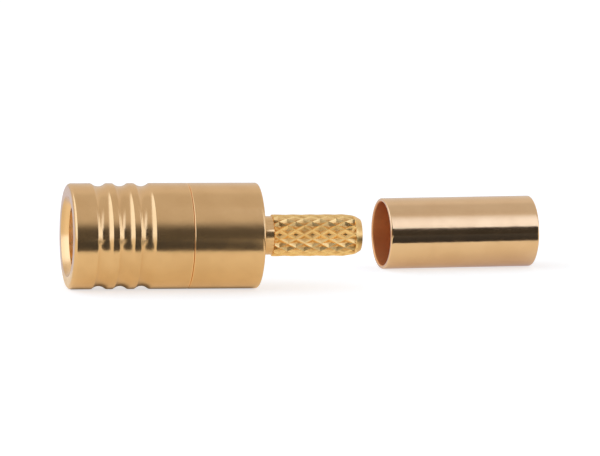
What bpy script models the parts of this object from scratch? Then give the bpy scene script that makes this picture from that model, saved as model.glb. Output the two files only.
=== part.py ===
"""Coaxial push-on crimp plug with its loose crimp ferrule, both lying on a flat surface.

The plug lies along X with its mating face towards -X. The ferrule lies behind
its crimp post, a little turned. Every turned piece is a profile of (x, radius)
points, measured from the mating plane along the plug's own axis.
"""

import math

import bmesh
import bpy
from mathutils import Matrix, Vector

MM = 0.001

# Facets round the turned surfaces
KNURL_STARTS = 14
FACETS_PER_START = 4
FACETS = KNURL_STARTS * FACETS_PER_START
CONTACT_FACETS = 28
WELD_DISTANCE = 0.001 * MM
SHARP_ANGLE = math.radians(25.0)

# Interface to the mating jack: its barrel sets every radius of the plug from inside out
BARREL_RADIUS = 1.855 * MM
BARREL_CLEARANCE = 0.045 * MM
MOUTH_CLEARANCE = 0.045 * MM
BEAD_GRIP = 0.095 * MM
FINGER_WALL = 0.3 * MM
FINGER_ROOM = 0.22 * MM
SEAT_STEP = 0.13 * MM
SHELL_WALL = 0.45 * MM

COLLET_BORE = BARREL_RADIUS + BARREL_CLEARANCE
COLLET_RADIUS = COLLET_BORE + FINGER_WALL
CAVITY_RADIUS = COLLET_RADIUS + FINGER_ROOM
SEAT_RADIUS = CAVITY_RADIUS + SEAT_STEP
BODY_RADIUS = SEAT_RADIUS + SHELL_WALL

# Outside of the plug
SHELL_LENGTH = 6.8 * MM
BODY_LENGTH = 10.9 * MM
POST_LENGTH = 5.95 * MM
OVERALL_LENGTH = BODY_LENGTH + POST_LENGTH
FRONT_ROUND = 0.22 * MM
REAR_ROUND = 0.14 * MM
SEAM_CHAMFER = 0.03 * MM
SEAM_ROUND = 0.1 * MM
SEAM_GAP = 0.02 * MM

# Three rounded grip grooves behind the mating face
GROOVE_COUNT = 3
GROOVE_FIRST = 1.77 * MM
GROOVE_PITCH = 1.225 * MM
GROOVE_WIDTH = 0.86 * MM
GROOVE_DEPTH = 0.175 * MM
GROOVE_EDGE = 0.15 * MM
GROOVE_STEPS = 6
GROOVE_EDGE_STEPS = 2

# Flared mouth of the front shell, and the seat of the collet
MOUTH_RADIUS = BARREL_RADIUS + MOUTH_CLEARANCE
FLARE_DEPTH = 0.4 * MM
FLARE_RISE = 0.4 * MM
LIP_DEPTH = 0.7 * MM
SEAT_START = 3.7 * MM

# Running and seating clearances between pieces
SEAT_CLEARANCE = 0.04 * MM
CONTACT_CLEARANCE = 0.03 * MM

# Slotted spring collet
COLLET_SETBACK = 0.12 * MM
COLLET_BEAD = BARREL_RADIUS - BEAD_GRIP
COLLET_MOUTH_WALL = 0.24 * MM
COLLET_LEAD_LENGTH = 0.24 * MM
COLLET_BEAD_LENGTH = 0.16 * MM
COLLET_BEAD_RUNOUT = 0.28 * MM
COLLET_EDGE = 0.08 * MM
COLLET_FLANGE_LENGTH = 0.8 * MM
COLLET_SLOTS = 4
COLLET_SLOT_WIDTH = 0.3 * MM
COLLET_SLOT_LAND = 0.7 * MM

# Insulators round the centre contact
NOSE_SETBACK = 1.0 * MM
NOSE_RADIUS = 1.0 * MM
NOSE_CHAMFER = 0.1 * MM
NOSE_FLANGE_LENGTH = 1.1 * MM
REAR_INSULATOR_RADIUS = 1.8 * MM
REAR_INSULATOR_LENGTH = 3.3 * MM

# Centre contact
CONTACT_SETBACK = 1.12 * MM
CONTACT_RADIUS = 0.475 * MM
CONTACT_EDGE = 0.06 * MM
CONTACT_COLLAR_RADIUS = 0.65 * MM
CONTACT_COLLAR_LENGTH = 0.36 * MM
CONTACT_TAIL = 0.5 * MM
SOCKET_RADIUS = 0.265 * MM
SOCKET_DEPTH = 2.4 * MM
SOCKET_SLOTS = 4
SOCKET_SLOT_WIDTH = 0.13 * MM
SOCKET_SLOT_LENGTH = 1.9 * MM
WELL_RADIUS = 0.3 * MM
WELL_DEPTH = 1.8 * MM
DRILL_POINT = 0.15 * MM
SOLDER_HOLE_RADIUS = 0.17 * MM

# Crimp post with its diamond knurl
POST_BORE = 0.8 * MM
POST_WALL = 0.3 * MM
NECK_LENGTH = 0.78 * MM
KNURL_RISE = 0.09 * MM
KNURL_LEAD_DROP = 0.03 * MM
KNURL_LEAD_LENGTH = 0.07 * MM
KNURL_HALF_PITCH = 0.475 * MM
KNURL_FIRST_PIT = 0.27 * MM
KNURL_RIDGE = 0.03 * MM
KNURL_FLANK = 0.15 * MM
KNURL_DEPTH = 0.11 * MM
KNURL_TURN = math.radians(-3.0)
NOSE_TAPER_LENGTH = 0.95 * MM
PLAIN_NOSE_LENGTH = 0.45 * MM
POST_END_WALL = 0.13 * MM
POST_END_EDGE = 0.05 * MM

# Loose crimp ferrule, and where it lies
FERRULE_RADIUS = 2.05 * MM
FERRULE_WALL = 0.2 * MM
FERRULE_LENGTH = 9.0 * MM
FERRULE_EDGE = 0.06 * MM
FERRULE_GAP = 2.68 * MM
FERRULE_ASIDE = 7.14 * MM
FERRULE_YAW = math.radians(5.55)

# Seats that follow from the sizes above
FLANGE_START = SEAT_START + SEAT_CLEARANCE
FLANGE_END = FLANGE_START + COLLET_FLANGE_LENGTH
SPIGOT_START = FLANGE_END + SEAT_CLEARANCE
SPIGOT_RADIUS = SEAT_RADIUS - SEAT_CLEARANCE
SEAM_FACE = SHELL_LENGTH + SEAM_GAP
CONTACT_HOLE = CONTACT_RADIUS + CONTACT_CLEARANCE
RECESS_RADIUS = REAR_INSULATOR_RADIUS + SEAT_CLEARANCE
RECESS_END = SPIGOT_START + REAR_INSULATOR_LENGTH + SEAT_CLEARANCE
CONTACT_END = RECESS_END + CONTACT_TAIL
NECK_RADIUS = POST_BORE + POST_WALL
KNURL_RADIUS = NECK_RADIUS + KNURL_RISE
POST_END_RADIUS = POST_BORE + POST_END_WALL
KNURL_START = BODY_LENGTH + NECK_LENGTH + KNURL_LEAD_LENGTH
KNURL_END = OVERALL_LENGTH - PLAIN_NOSE_LENGTH


def clear_scene():
    """Empties the scene and drops what it leaves behind."""
    for old in list(bpy.data.objects):
        bpy.data.objects.remove(old, do_unlink=True)
    for group in (bpy.data.meshes, bpy.data.materials):
        for block in list(group):
            group.remove(block)


def principled(name, colour, metallic, roughness):
    """Material with one Principled shader."""
    material = bpy.data.materials.new(name)
    material.use_nodes = True
    shader = material.node_tree.nodes["Principled BSDF"]
    shader.inputs["Base Color"].default_value = (*colour, 1.0)
    shader.inputs["Metallic"].default_value = metallic
    shader.inputs["Roughness"].default_value = roughness
    return material


def gold_plate(piece):
    """Polished gold over turned brass."""
    return principled(piece + "_gold", (0.83, 0.55, 0.27), 1.0, 0.17)


def spring_gold(piece):
    """Thin gold over a sprung copper alloy, a deeper colour."""
    return principled(piece + "_gold", (0.72, 0.43, 0.19), 1.0, 0.24)


def ferrule_gold(piece):
    """Gold over drawn copper tube, paler and smoother."""
    return principled(piece + "_gold", (0.86, 0.6, 0.36), 1.0, 0.14)


def fluoropolymer(piece):
    """Waxy off-white insulator."""
    return principled(piece + "_fluoropolymer", (0.86, 0.85, 0.8), 0.0, 0.44)


def arc(centre, radius, start, end, steps):
    """Points of a circular arc in the profile plane, angles in degrees from +x."""
    points = []
    for step in range(steps + 1):
        angle = math.radians(start + (end - start) * step / steps)
        points.append((centre[0] + radius * math.cos(angle), centre[1] + radius * math.sin(angle)))
    return points


def groove(centre):
    """One rounded groove: the arc that its width and depth give, with softened edges."""
    radius = GROOVE_WIDTH ** 2 / (8.0 * GROOVE_DEPTH) + GROOVE_DEPTH / 2.0
    lift = radius - GROOVE_DEPTH
    reach = math.sqrt((radius + GROOVE_EDGE) ** 2 - (lift + GROOVE_EDGE) ** 2)
    turn = math.degrees(math.atan2(lift + GROOVE_EDGE, reach))
    edge_radius = BODY_RADIUS - GROOVE_EDGE
    front_edge = arc((centre - reach, edge_radius), GROOVE_EDGE, 90.0, turn, GROOVE_EDGE_STEPS)
    floor = arc((centre, BODY_RADIUS + lift), radius, 180.0 + turn, 360.0 - turn, GROOVE_STEPS)
    back_edge = arc((centre + reach, edge_radius), GROOVE_EDGE, 180.0 - turn, 90.0, GROOVE_EDGE_STEPS)
    return front_edge + floor[1:-1] + back_edge


def spin_profile(bm, points, facets, closed):
    """Turns a profile about the X axis; a closed one makes a ring."""
    verts = [bm.verts.new((x, 0.0, radius)) for x, radius in points]
    edges = [bm.edges.new(pair) for pair in zip(verts, verts[1:])]
    if closed:
        edges.append(bm.edges.new((verts[-1], verts[0])))
    bmesh.ops.spin(
        bm, geom=verts + edges, cent=(0.0, 0.0, 0.0), axis=(1.0, 0.0, 0.0),
        angle=math.tau, steps=facets, use_merge=True)


def finish_object(name, bm, material, parent):
    """Welds the seams, turns the faces outwards and puts the piece on its axis."""
    bmesh.ops.remove_doubles(bm, verts=bm.verts, dist=WELD_DISTANCE)
    bmesh.ops.dissolve_degenerate(bm, edges=bm.edges, dist=WELD_DISTANCE)
    bmesh.ops.recalc_face_normals(bm, faces=bm.faces)
    mesh = bpy.data.meshes.new(name)
    bm.to_mesh(mesh)
    bm.free()
    mesh.shade_smooth()
    mesh.set_sharp_from_angle(angle=SHARP_ANGLE)
    mesh.materials.append(material)
    piece = bpy.data.objects.new(name, mesh)
    bpy.context.scene.collection.objects.link(piece)
    piece.parent = parent
    return piece


def turned_piece(name, profile, material, parent, facets=FACETS, closed=True):
    """A piece made on a lathe from one profile."""
    bm = bmesh.new()
    spin_profile(bm, profile, facets, closed)
    return finish_object(name, bm, material, parent)


def slot_cutter(name, count, start, length, width, reach, parent):
    """Radial blades that saw slots into a tube from its front end."""
    bm = bmesh.new()
    for index in range(count):
        blade = bmesh.ops.create_cube(bm, size=1.0)["verts"]
        bmesh.ops.scale(bm, verts=blade, vec=(length, width, reach))
        bmesh.ops.translate(bm, verts=blade, vec=(start + length / 2.0, 0.0, reach / 2.0))
        turn = Matrix.Rotation(math.tau * (index + 0.5) / count, 3, "X")
        bmesh.ops.rotate(bm, verts=blade, cent=(0.0, 0.0, 0.0), matrix=turn)
    return hidden_tool(name, bm, parent)


def hidden_tool(name, bm, parent):
    """A cutter that only shapes another piece."""
    mesh = bpy.data.meshes.new(name)
    bm.to_mesh(mesh)
    bm.free()
    tool = bpy.data.objects.new(name, mesh)
    bpy.context.scene.collection.objects.link(tool)
    tool.parent = parent
    tool.hide_render = True
    tool.display_type = "WIRE"
    return tool


def cut(piece, tool):
    """Takes the tool's shape out of the piece."""
    modifier = piece.modifiers.new(tool.name, "BOOLEAN")
    modifier.operation = "DIFFERENCE"
    modifier.solver = "EXACT"
    modifier.object = tool


def add_front_shell(parent):
    """Grooved outer sleeve, with the flared mouth and the bore that seats the collet."""
    profile = [(FLARE_DEPTH, MOUTH_RADIUS), (0.0, MOUTH_RADIUS + FLARE_RISE)]
    profile += arc((FRONT_ROUND, BODY_RADIUS - FRONT_ROUND), FRONT_ROUND, 180.0, 90.0, 4)
    for index in range(GROOVE_COUNT):
        profile += groove(GROOVE_FIRST + index * GROOVE_PITCH)
    profile += [
        (SHELL_LENGTH - SEAM_CHAMFER, BODY_RADIUS),
        (SHELL_LENGTH, BODY_RADIUS - SEAM_CHAMFER),
        (SHELL_LENGTH, SEAT_RADIUS),
        (SEAT_START, SEAT_RADIUS),
        (SEAT_START, CAVITY_RADIUS),
        (LIP_DEPTH, CAVITY_RADIUS),
        (LIP_DEPTH, MOUTH_RADIUS),
    ]
    return turned_piece("front_shell", profile, gold_plate("shell"), parent)


def add_spring_collet(parent):
    """Slotted spring contact that springs over the mating barrel."""
    front = LIP_DEPTH + COLLET_SETBACK
    bead_front = front + COLLET_LEAD_LENGTH
    bead_back = bead_front + COLLET_BEAD_LENGTH
    profile = [
        (front, COLLET_RADIUS - COLLET_MOUTH_WALL),
        (front, COLLET_RADIUS - COLLET_EDGE),
        (front + COLLET_EDGE, COLLET_RADIUS),
        (FLANGE_START, COLLET_RADIUS),
        (FLANGE_START, SEAT_RADIUS - SEAT_CLEARANCE),
        (FLANGE_END, SEAT_RADIUS - SEAT_CLEARANCE),
        (FLANGE_END, COLLET_BORE),
        (bead_back + COLLET_BEAD_RUNOUT, COLLET_BORE),
        (bead_back, COLLET_BEAD),
        (bead_front, COLLET_BEAD),
    ]
    collet = turned_piece("spring_collet", profile, spring_gold("collet"), parent)
    saw_start = front - COLLET_SLOT_WIDTH
    saw_length = FLANGE_START - COLLET_SLOT_LAND - saw_start
    reach = COLLET_RADIUS + COLLET_SLOT_WIDTH
    saw = slot_cutter(
        "collet_saw", COLLET_SLOTS, saw_start, saw_length, COLLET_SLOT_WIDTH, reach, parent)
    cut(collet, saw)
    return collet


def add_front_insulator(parent):
    """Nose that stands inside the collet and holds the socket end of the contact."""
    outer = COLLET_BORE - SEAT_CLEARANCE
    flange_start = FLANGE_END - NOSE_FLANGE_LENGTH
    collar_hole = CONTACT_COLLAR_RADIUS + CONTACT_CLEARANCE
    collar_start = FLANGE_END - CONTACT_COLLAR_LENGTH - CONTACT_CLEARANCE
    profile = [
        (NOSE_SETBACK, CONTACT_HOLE),
        (NOSE_SETBACK, NOSE_RADIUS - NOSE_CHAMFER),
        (NOSE_SETBACK + NOSE_CHAMFER, NOSE_RADIUS),
        (flange_start, NOSE_RADIUS),
        (flange_start, outer),
        (FLANGE_END, outer),
        (FLANGE_END, collar_hole),
        (collar_start, collar_hole),
        (collar_start, CONTACT_HOLE),
    ]
    return turned_piece("front_insulator", profile, fluoropolymer("nose"), parent)


def add_rear_insulator(parent):
    """Plain bush that traps the contact's collar from behind."""
    front = SPIGOT_START
    back = front + REAR_INSULATOR_LENGTH
    profile = [
        (front, CONTACT_HOLE),
        (front, REAR_INSULATOR_RADIUS),
        (back, REAR_INSULATOR_RADIUS),
        (back, CONTACT_HOLE),
    ]
    return turned_piece("rear_insulator", profile, fluoropolymer("bush"), parent)


def add_centre_contact(parent):
    """Slotted socket in front, trapped collar, and a well for the wire behind."""
    socket_end = CONTACT_SETBACK + SOCKET_DEPTH
    collar_end = FLANGE_END
    collar_start = collar_end - CONTACT_COLLAR_LENGTH
    well_end = CONTACT_END - WELL_DEPTH
    edge_radius = CONTACT_RADIUS - CONTACT_EDGE
    profile = [
        (socket_end + DRILL_POINT, 0.0),
        (socket_end, SOCKET_RADIUS),
        (CONTACT_SETBACK + CONTACT_EDGE, SOCKET_RADIUS),
        (CONTACT_SETBACK, SOCKET_RADIUS + CONTACT_EDGE),
        (CONTACT_SETBACK, edge_radius),
        (CONTACT_SETBACK + CONTACT_EDGE, CONTACT_RADIUS),
        (collar_start, CONTACT_RADIUS),
        (collar_start, CONTACT_COLLAR_RADIUS),
        (collar_end, CONTACT_COLLAR_RADIUS),
        (collar_end, CONTACT_RADIUS),
        (CONTACT_END - CONTACT_EDGE, CONTACT_RADIUS),
        (CONTACT_END, edge_radius),
        (CONTACT_END, WELL_RADIUS),
        (well_end, WELL_RADIUS),
        (well_end - DRILL_POINT, 0.0),
    ]
    contact = turned_piece(
        "centre_contact", profile, spring_gold("contact"), parent, CONTACT_FACETS, False)
    saw_start = CONTACT_SETBACK - SOCKET_SLOT_WIDTH
    saw_length = SOCKET_SLOT_LENGTH + SOCKET_SLOT_WIDTH
    reach = CONTACT_RADIUS + SOCKET_SLOT_WIDTH
    saw = slot_cutter(
        "socket_saw", SOCKET_SLOTS, saw_start, saw_length, SOCKET_SLOT_WIDTH, reach, parent)
    cut(contact, saw)
    cut(contact, solder_drill(parent))
    return contact


def solder_drill(parent):
    """Drill for the inspection hole in the wall of the wire well."""
    bm = bmesh.new()
    bmesh.ops.create_cone(
        bm, cap_ends=True, segments=CONTACT_FACETS // 2, radius1=SOLDER_HOLE_RADIUS,
        radius2=SOLDER_HOLE_RADIUS, depth=CONTACT_RADIUS * 2.0)
    place = (CONTACT_END - WELL_DEPTH / 2.0, 0.0, CONTACT_RADIUS)
    bmesh.ops.translate(bm, verts=bm.verts, vec=place)
    return hidden_tool("solder_drill", bm, parent)


def post_radius(x):
    """Outer radius of the knurled post: a short lead, a cylinder, a crowned nose."""
    if x <= KNURL_START:
        return KNURL_RADIUS - KNURL_LEAD_DROP
    taper = max(0.0, 1.0 - (OVERALL_LENGTH - x) / NOSE_TAPER_LENGTH)
    return KNURL_RADIUS - (KNURL_RADIUS - POST_END_RADIUS) * taper ** 2


def knurl_columns():
    """Planes that hold the crossings of the ridges, a half pitch apart."""
    columns = [KNURL_START]
    x = KNURL_START + KNURL_FIRST_PIT
    while x < KNURL_END - KNURL_HALF_PITCH / 3.0:
        columns.append(x)
        x += KNURL_HALF_PITCH
    columns.append(KNURL_END)
    return columns


def on_post(x, angle):
    """Point on the post's outer surface, angle from the top towards -Y."""
    radius = post_radius(x)
    return (x, -radius * math.sin(angle), radius * math.cos(angle))


def add_knurl(bm):
    """Diamond knurl: a lattice of diamonds on the post, each pressed in to a pit."""
    columns = knurl_columns()
    last = len(columns) - 1
    row = math.pi / KNURL_STARTS
    facet = math.tau / FACETS

    end_rings = {}
    for column in (0, last):
        x = columns[column]
        end_rings[column] = [bm.verts.new(on_post(x, step * facet)) for step in range(FACETS)]

    crossings = {}
    for column, x in enumerate(columns):
        for start in range(KNURL_STARTS):
            line = 2 * start + (column + 1) % 2
            if column in end_rings:
                crossings[column, line] = end_rings[column][line * FACETS_PER_START // 2]
            else:
                crossings[column, line] = bm.verts.new(on_post(x, line * row))

    lines = 2 * KNURL_STARTS
    diamonds = []
    for column in range(1, last):
        for start in range(KNURL_STARTS):
            line = 2 * start + column % 2
            diamonds.append(bm.faces.new((
                crossings[column - 1, line],
                crossings[column, (line + 1) % lines],
                crossings[column + 1, line],
                crossings[column, (line - 1) % lines])))

    for column, neighbour in ((0, 1), (last, last - 1)):
        for start in range(KNURL_STARTS):
            line = 2 * start + column % 2
            first = (line - 1) * FACETS_PER_START // 2
            rim = [end_rings[column][(first + step) % FACETS] for step in range(FACETS_PER_START + 1)]
            apex = crossings[neighbour, line]
            for pair in zip(rim, rim[1:]):
                bm.faces.new((apex, *pair))

    bmesh.ops.recalc_face_normals(bm, faces=bm.faces)
    bmesh.ops.inset_individual(bm, faces=diamonds, thickness=KNURL_RIDGE, use_even_offset=True)
    bmesh.ops.inset_individual(
        bm, faces=diamonds, thickness=KNURL_FLANK, depth=-KNURL_DEPTH, use_even_offset=True)


def add_crimp_body(parent):
    """Rear body: spigot in the shell, full-size barrel, neck and knurled crimp post."""
    bm = bmesh.new()
    add_knurl(bm)
    profile = [(KNURL_END, post_radius(KNURL_END))]
    middle = (KNURL_END + OVERALL_LENGTH - POST_END_EDGE) / 2.0
    rim = OVERALL_LENGTH - POST_END_EDGE
    profile += [
        (middle, post_radius(middle)),
        (rim, post_radius(rim)),
        (OVERALL_LENGTH, POST_END_RADIUS - POST_END_EDGE),
        (OVERALL_LENGTH, POST_BORE),
        (RECESS_END, POST_BORE),
        (RECESS_END, RECESS_RADIUS),
        (SPIGOT_START, RECESS_RADIUS),
        (SPIGOT_START, SPIGOT_RADIUS - SEAM_CHAMFER),
        (SPIGOT_START + SEAM_CHAMFER, SPIGOT_RADIUS),
        (SEAM_FACE, SPIGOT_RADIUS),
    ]
    profile += arc((SEAM_FACE + SEAM_ROUND, BODY_RADIUS - SEAM_ROUND), SEAM_ROUND, 180.0, 90.0, 2)
    profile += arc((BODY_LENGTH - REAR_ROUND, BODY_RADIUS - REAR_ROUND), REAR_ROUND, 90.0, 0.0, 3)
    profile += [
        (BODY_LENGTH, NECK_RADIUS),
        (BODY_LENGTH + NECK_LENGTH, NECK_RADIUS),
        (KNURL_START, post_radius(KNURL_START)),
    ]
    spin_profile(bm, profile, FACETS, False)
    body = finish_object("crimp_body", bm, gold_plate("body"), parent)
    body.rotation_euler.x = KNURL_TURN
    return body


def add_crimp_ferrule(parent):
    """Thin tube that is crimped over the cable braid on the post."""
    bore = FERRULE_RADIUS - FERRULE_WALL
    profile = []
    profile += arc((FERRULE_EDGE, FERRULE_RADIUS - FERRULE_EDGE), FERRULE_EDGE, 180.0, 90.0, 2)
    back = FERRULE_LENGTH - FERRULE_EDGE
    profile += arc((back, FERRULE_RADIUS - FERRULE_EDGE), FERRULE_EDGE, 90.0, 0.0, 2)
    profile += arc((back, bore + FERRULE_EDGE), FERRULE_EDGE, 0.0, -90.0, 2)
    profile += arc((FERRULE_EDGE, bore + FERRULE_EDGE), FERRULE_EDGE, 270.0, 180.0, 2)
    return turned_piece("crimp_ferrule", profile, ferrule_gold("ferrule"), parent)


def add_axis(name, place, yaw, parent):
    """Empty that carries the pieces of one turning axis."""
    axis = bpy.data.objects.new(name, None)
    bpy.context.scene.collection.objects.link(axis)
    axis.location = place
    axis.rotation_euler.z = yaw
    axis.parent = parent
    return axis


def centre_on_floor(root, pieces):
    """Moves the set so that the middle of its footprint is the origin."""
    bpy.context.view_layer.update()
    corners = [piece.matrix_world @ vert.co for piece in pieces for vert in piece.data.vertices]
    low = Vector(min(corner[axis] for corner in corners) for axis in range(3))
    high = Vector(max(corner[axis] for corner in corners) for axis in range(3))
    root.location = (-(low.x + high.x) / 2.0, -(low.y + high.y) / 2.0, -low.z)


def build():
    """Models the plug and its ferrule."""
    clear_scene()
    root = add_axis("set_origin", (0.0, 0.0, 0.0), 0.0, None)
    plug = add_axis("plug_axis", (0.0, 0.0, BODY_RADIUS), 0.0, root)
    ferrule_place = (OVERALL_LENGTH + FERRULE_GAP, FERRULE_ASIDE, FERRULE_RADIUS)
    tube = add_axis("ferrule_axis", ferrule_place, FERRULE_YAW, root)
    pieces = [
        add_front_shell(plug),
        add_spring_collet(plug),
        add_front_insulator(plug),
        add_centre_contact(plug),
        add_rear_insulator(plug),
        add_crimp_body(plug),
        add_crimp_ferrule(tube),
    ]
    centre_on_floor(root, pieces)


build()
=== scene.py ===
# %% [markdown]
# # A gold-plated crimp plug and its ferrule
#
# The real object is a small turned plug for thin coaxial cable, about 17 mm long, with a
# tube that is crimped over the cable later on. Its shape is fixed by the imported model,
# and this file gives it its finish: finer meshes for what the eye sees, the gold, the
# light and the camera.

import math

import bpy
from mathutils import Matrix, Vector


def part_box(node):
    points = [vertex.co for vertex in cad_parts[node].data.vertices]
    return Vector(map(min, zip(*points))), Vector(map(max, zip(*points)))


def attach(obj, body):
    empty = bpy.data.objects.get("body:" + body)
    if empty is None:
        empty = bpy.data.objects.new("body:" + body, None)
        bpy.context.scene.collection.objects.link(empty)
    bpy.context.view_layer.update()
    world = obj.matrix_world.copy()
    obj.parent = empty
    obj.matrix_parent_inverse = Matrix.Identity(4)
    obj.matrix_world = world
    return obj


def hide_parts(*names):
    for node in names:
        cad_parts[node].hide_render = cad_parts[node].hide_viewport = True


MM = 0.001
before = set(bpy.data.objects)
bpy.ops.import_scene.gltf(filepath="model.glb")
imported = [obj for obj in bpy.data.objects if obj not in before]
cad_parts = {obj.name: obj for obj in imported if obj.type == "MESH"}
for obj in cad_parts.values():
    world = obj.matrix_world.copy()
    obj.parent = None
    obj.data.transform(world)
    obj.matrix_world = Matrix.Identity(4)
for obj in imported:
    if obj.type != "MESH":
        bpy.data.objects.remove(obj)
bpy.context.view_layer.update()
print("nodes:", ", ".join(sorted(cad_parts)))

# %% [markdown]
# ## Where the turned pieces lie
#
# A turned piece is known by its axis and its profile. The axis of the plug follows from
# the box of its front sleeve, and the ferrule's from its own box: the tube lies a little
# turned on the floor, so its box is wider than the tube.

# %% Axes of the plug and of the ferrule
shell_low, shell_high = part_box("front_shell")
ferrule_low, ferrule_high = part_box("crimp_ferrule")
BODY_RADIUS = (shell_high.z - shell_low.z) / 2.0
FERRULE_RADIUS = (ferrule_high.z - ferrule_low.z) / 2.0
FERRULE_LENGTH = 9.0 * MM
FERRULE_YAW = math.radians(5.55)

PLUG_START = Vector((shell_low.x, (shell_low.y + shell_high.y) / 2.0, BODY_RADIUS))
PLUG_AXIS = Vector((1.0, 0.0, 0.0))
FERRULE_AXIS = Vector((math.cos(FERRULE_YAW), math.sin(FERRULE_YAW), 0.0))
ferrule_middle = (ferrule_low + ferrule_high) / 2.0
FERRULE_START = ferrule_middle - FERRULE_AXIS * FERRULE_LENGTH / 2.0
print("plug axis from", [round(value / MM, 3) for value in PLUG_START])
print("ferrule axis from", [round(value / MM, 3) for value in FERRULE_START])

# %% [markdown]
# ## Camera
#
# The photograph is taken with a long lens, slightly from the left and from above, which
# keeps both ends of the plug nearly the same size. The camera circles a point of the
# object at an azimuth and an elevation, and rolls a little about its own view line.

# %% Camera at the photograph's viewing angle
CAMERA_AZIMUTH = math.radians(-10.8027)
CAMERA_ELEVATION = math.radians(8.0)
CAMERA_ROLL = math.radians(1.2666)
CAMERA_DISTANCE = 400.0 * MM
SENSOR = 36.0
FOCAL_LENGTH = 422.56
TARGET_ALONG = 13.3779 * MM
TARGET_HEIGHT = 3.4147 * MM


def add_camera():
    """A camera on a circle round its target, rolled about its view line."""
    target = Vector((PLUG_START.x + TARGET_ALONG, PLUG_START.y, TARGET_HEIGHT))
    level = math.cos(CAMERA_ELEVATION)
    back = Vector((
        math.sin(CAMERA_AZIMUTH) * level,
        -math.cos(CAMERA_AZIMUTH) * level,
        math.sin(CAMERA_ELEVATION)))
    data = bpy.data.cameras.new("photo_camera")
    data.lens = FOCAL_LENGTH
    data.sensor_width = SENSOR
    data.clip_start = CAMERA_DISTANCE / 10.0
    data.clip_end = CAMERA_DISTANCE * 10.0
    camera = bpy.data.objects.new("photo_camera", data)
    bpy.context.scene.collection.objects.link(camera)
    facing = back.to_track_quat("Z", "Y").to_matrix().to_4x4()
    roll = Matrix.Rotation(CAMERA_ROLL, 4, "Z")
    camera.matrix_world = Matrix.Translation(target + back * CAMERA_DISTANCE) @ facing @ roll
    bpy.context.scene.camera = camera
    return camera


camera = add_camera()
bpy.context.scene.view_settings.view_transform = "Standard"
print("camera at", [round(value / MM, 1) for value in camera.matrix_world.translation])

# %% [markdown]
# ## Wiring nodes
#
# Every finish below is a small chain of nodes. Four helpers keep such a chain short to
# write: one adds a node and fills its inputs, one does arithmetic, one turns a value into
# a soft step between two limits, and one mixes two colours.


# %% Helpers that add and link nodes
def add_node(tree, kind, inputs=None, **settings):
    """Adds a node; inputs maps socket names or numbers to values or other sockets."""
    node = tree.nodes.new(kind)
    for name, value in settings.items():
        setattr(node, name, value)
    for name, value in (inputs or {}).items():
        if isinstance(value, bpy.types.NodeSocket):
            tree.links.new(value, node.inputs[name])
        else:
            node.inputs[name].default_value = value
    return node


def calculate(tree, operation, *values):
    """One arithmetic step."""
    return add_node(tree, "ShaderNodeMath", dict(enumerate(values)), operation=operation).outputs[0]


def soft_step(tree, value, low, high, at_low=0.0, at_high=1.0):
    """A smooth change from one level to another between two limits."""
    inputs = {
        "Value": value, "From Min": low, "From Max": high, "To Min": at_low, "To Max": at_high}
    step = add_node(
        tree, "ShaderNodeMapRange", inputs, interpolation_type="SMOOTHSTEP", clamp=True)
    return step.outputs["Result"]


def mix_colours(tree, share, first, second):
    """The first colour, with a share of the second mixed in."""
    return add_node(
        tree, "ShaderNodeMix", {"Factor": share, "A": first, "B": second},
        data_type="RGBA").outputs["Result"]


# %% [markdown]
# ## Light tent
#
# Polished gold has no look of its own: it shows what stands round it. The plug seems to
# have been photographed in a bright tent whose front is open. The dark opening, with the
# room and the camera in it, would then be the dark band along each piece. The side walls
# are painted brightest and coolest, and draw the bright lines on the flanks of the grooves.
#
# The tent is painted on the world by direction. Both pieces lie along X, so a direction
# is told by two angles that suit a long tent: how far it leans along X, and how far it
# goes round that axis, from the front at 0 over the roof at 90 to the back at 180. The
# camera itself sees plain white behind the object.

# %% World painted as a light tent
ROOF_LIGHT = (0.65, 0.643, 0.63)
BACK_LIGHT = (0.76, 0.752, 0.737)
WALL_LIGHT = (1.3, 1.5, 1.85)
OPENING_LIGHT = (0.1, 0.098, 0.094)
CORNER_LIGHT = (0.045, 0.044, 0.042)


def wall_patch(tree, angles, middle, reach, edge):
    """Mask of a soft-edged patch of the tent: middle, reach and edge along X and round it."""
    inside = 1.0
    for angle, centre, half, soft in zip(angles, middle, reach, edge):
        away = calculate(tree, "ABSOLUTE", calculate(tree, "SUBTRACT", angle, math.radians(centre)))
        low = math.radians(half - soft)
        high = math.radians(half + soft)
        inside = calculate(tree, "MULTIPLY", inside, soft_step(tree, away, low, high, 1.0, 0.0))
    return inside


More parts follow.
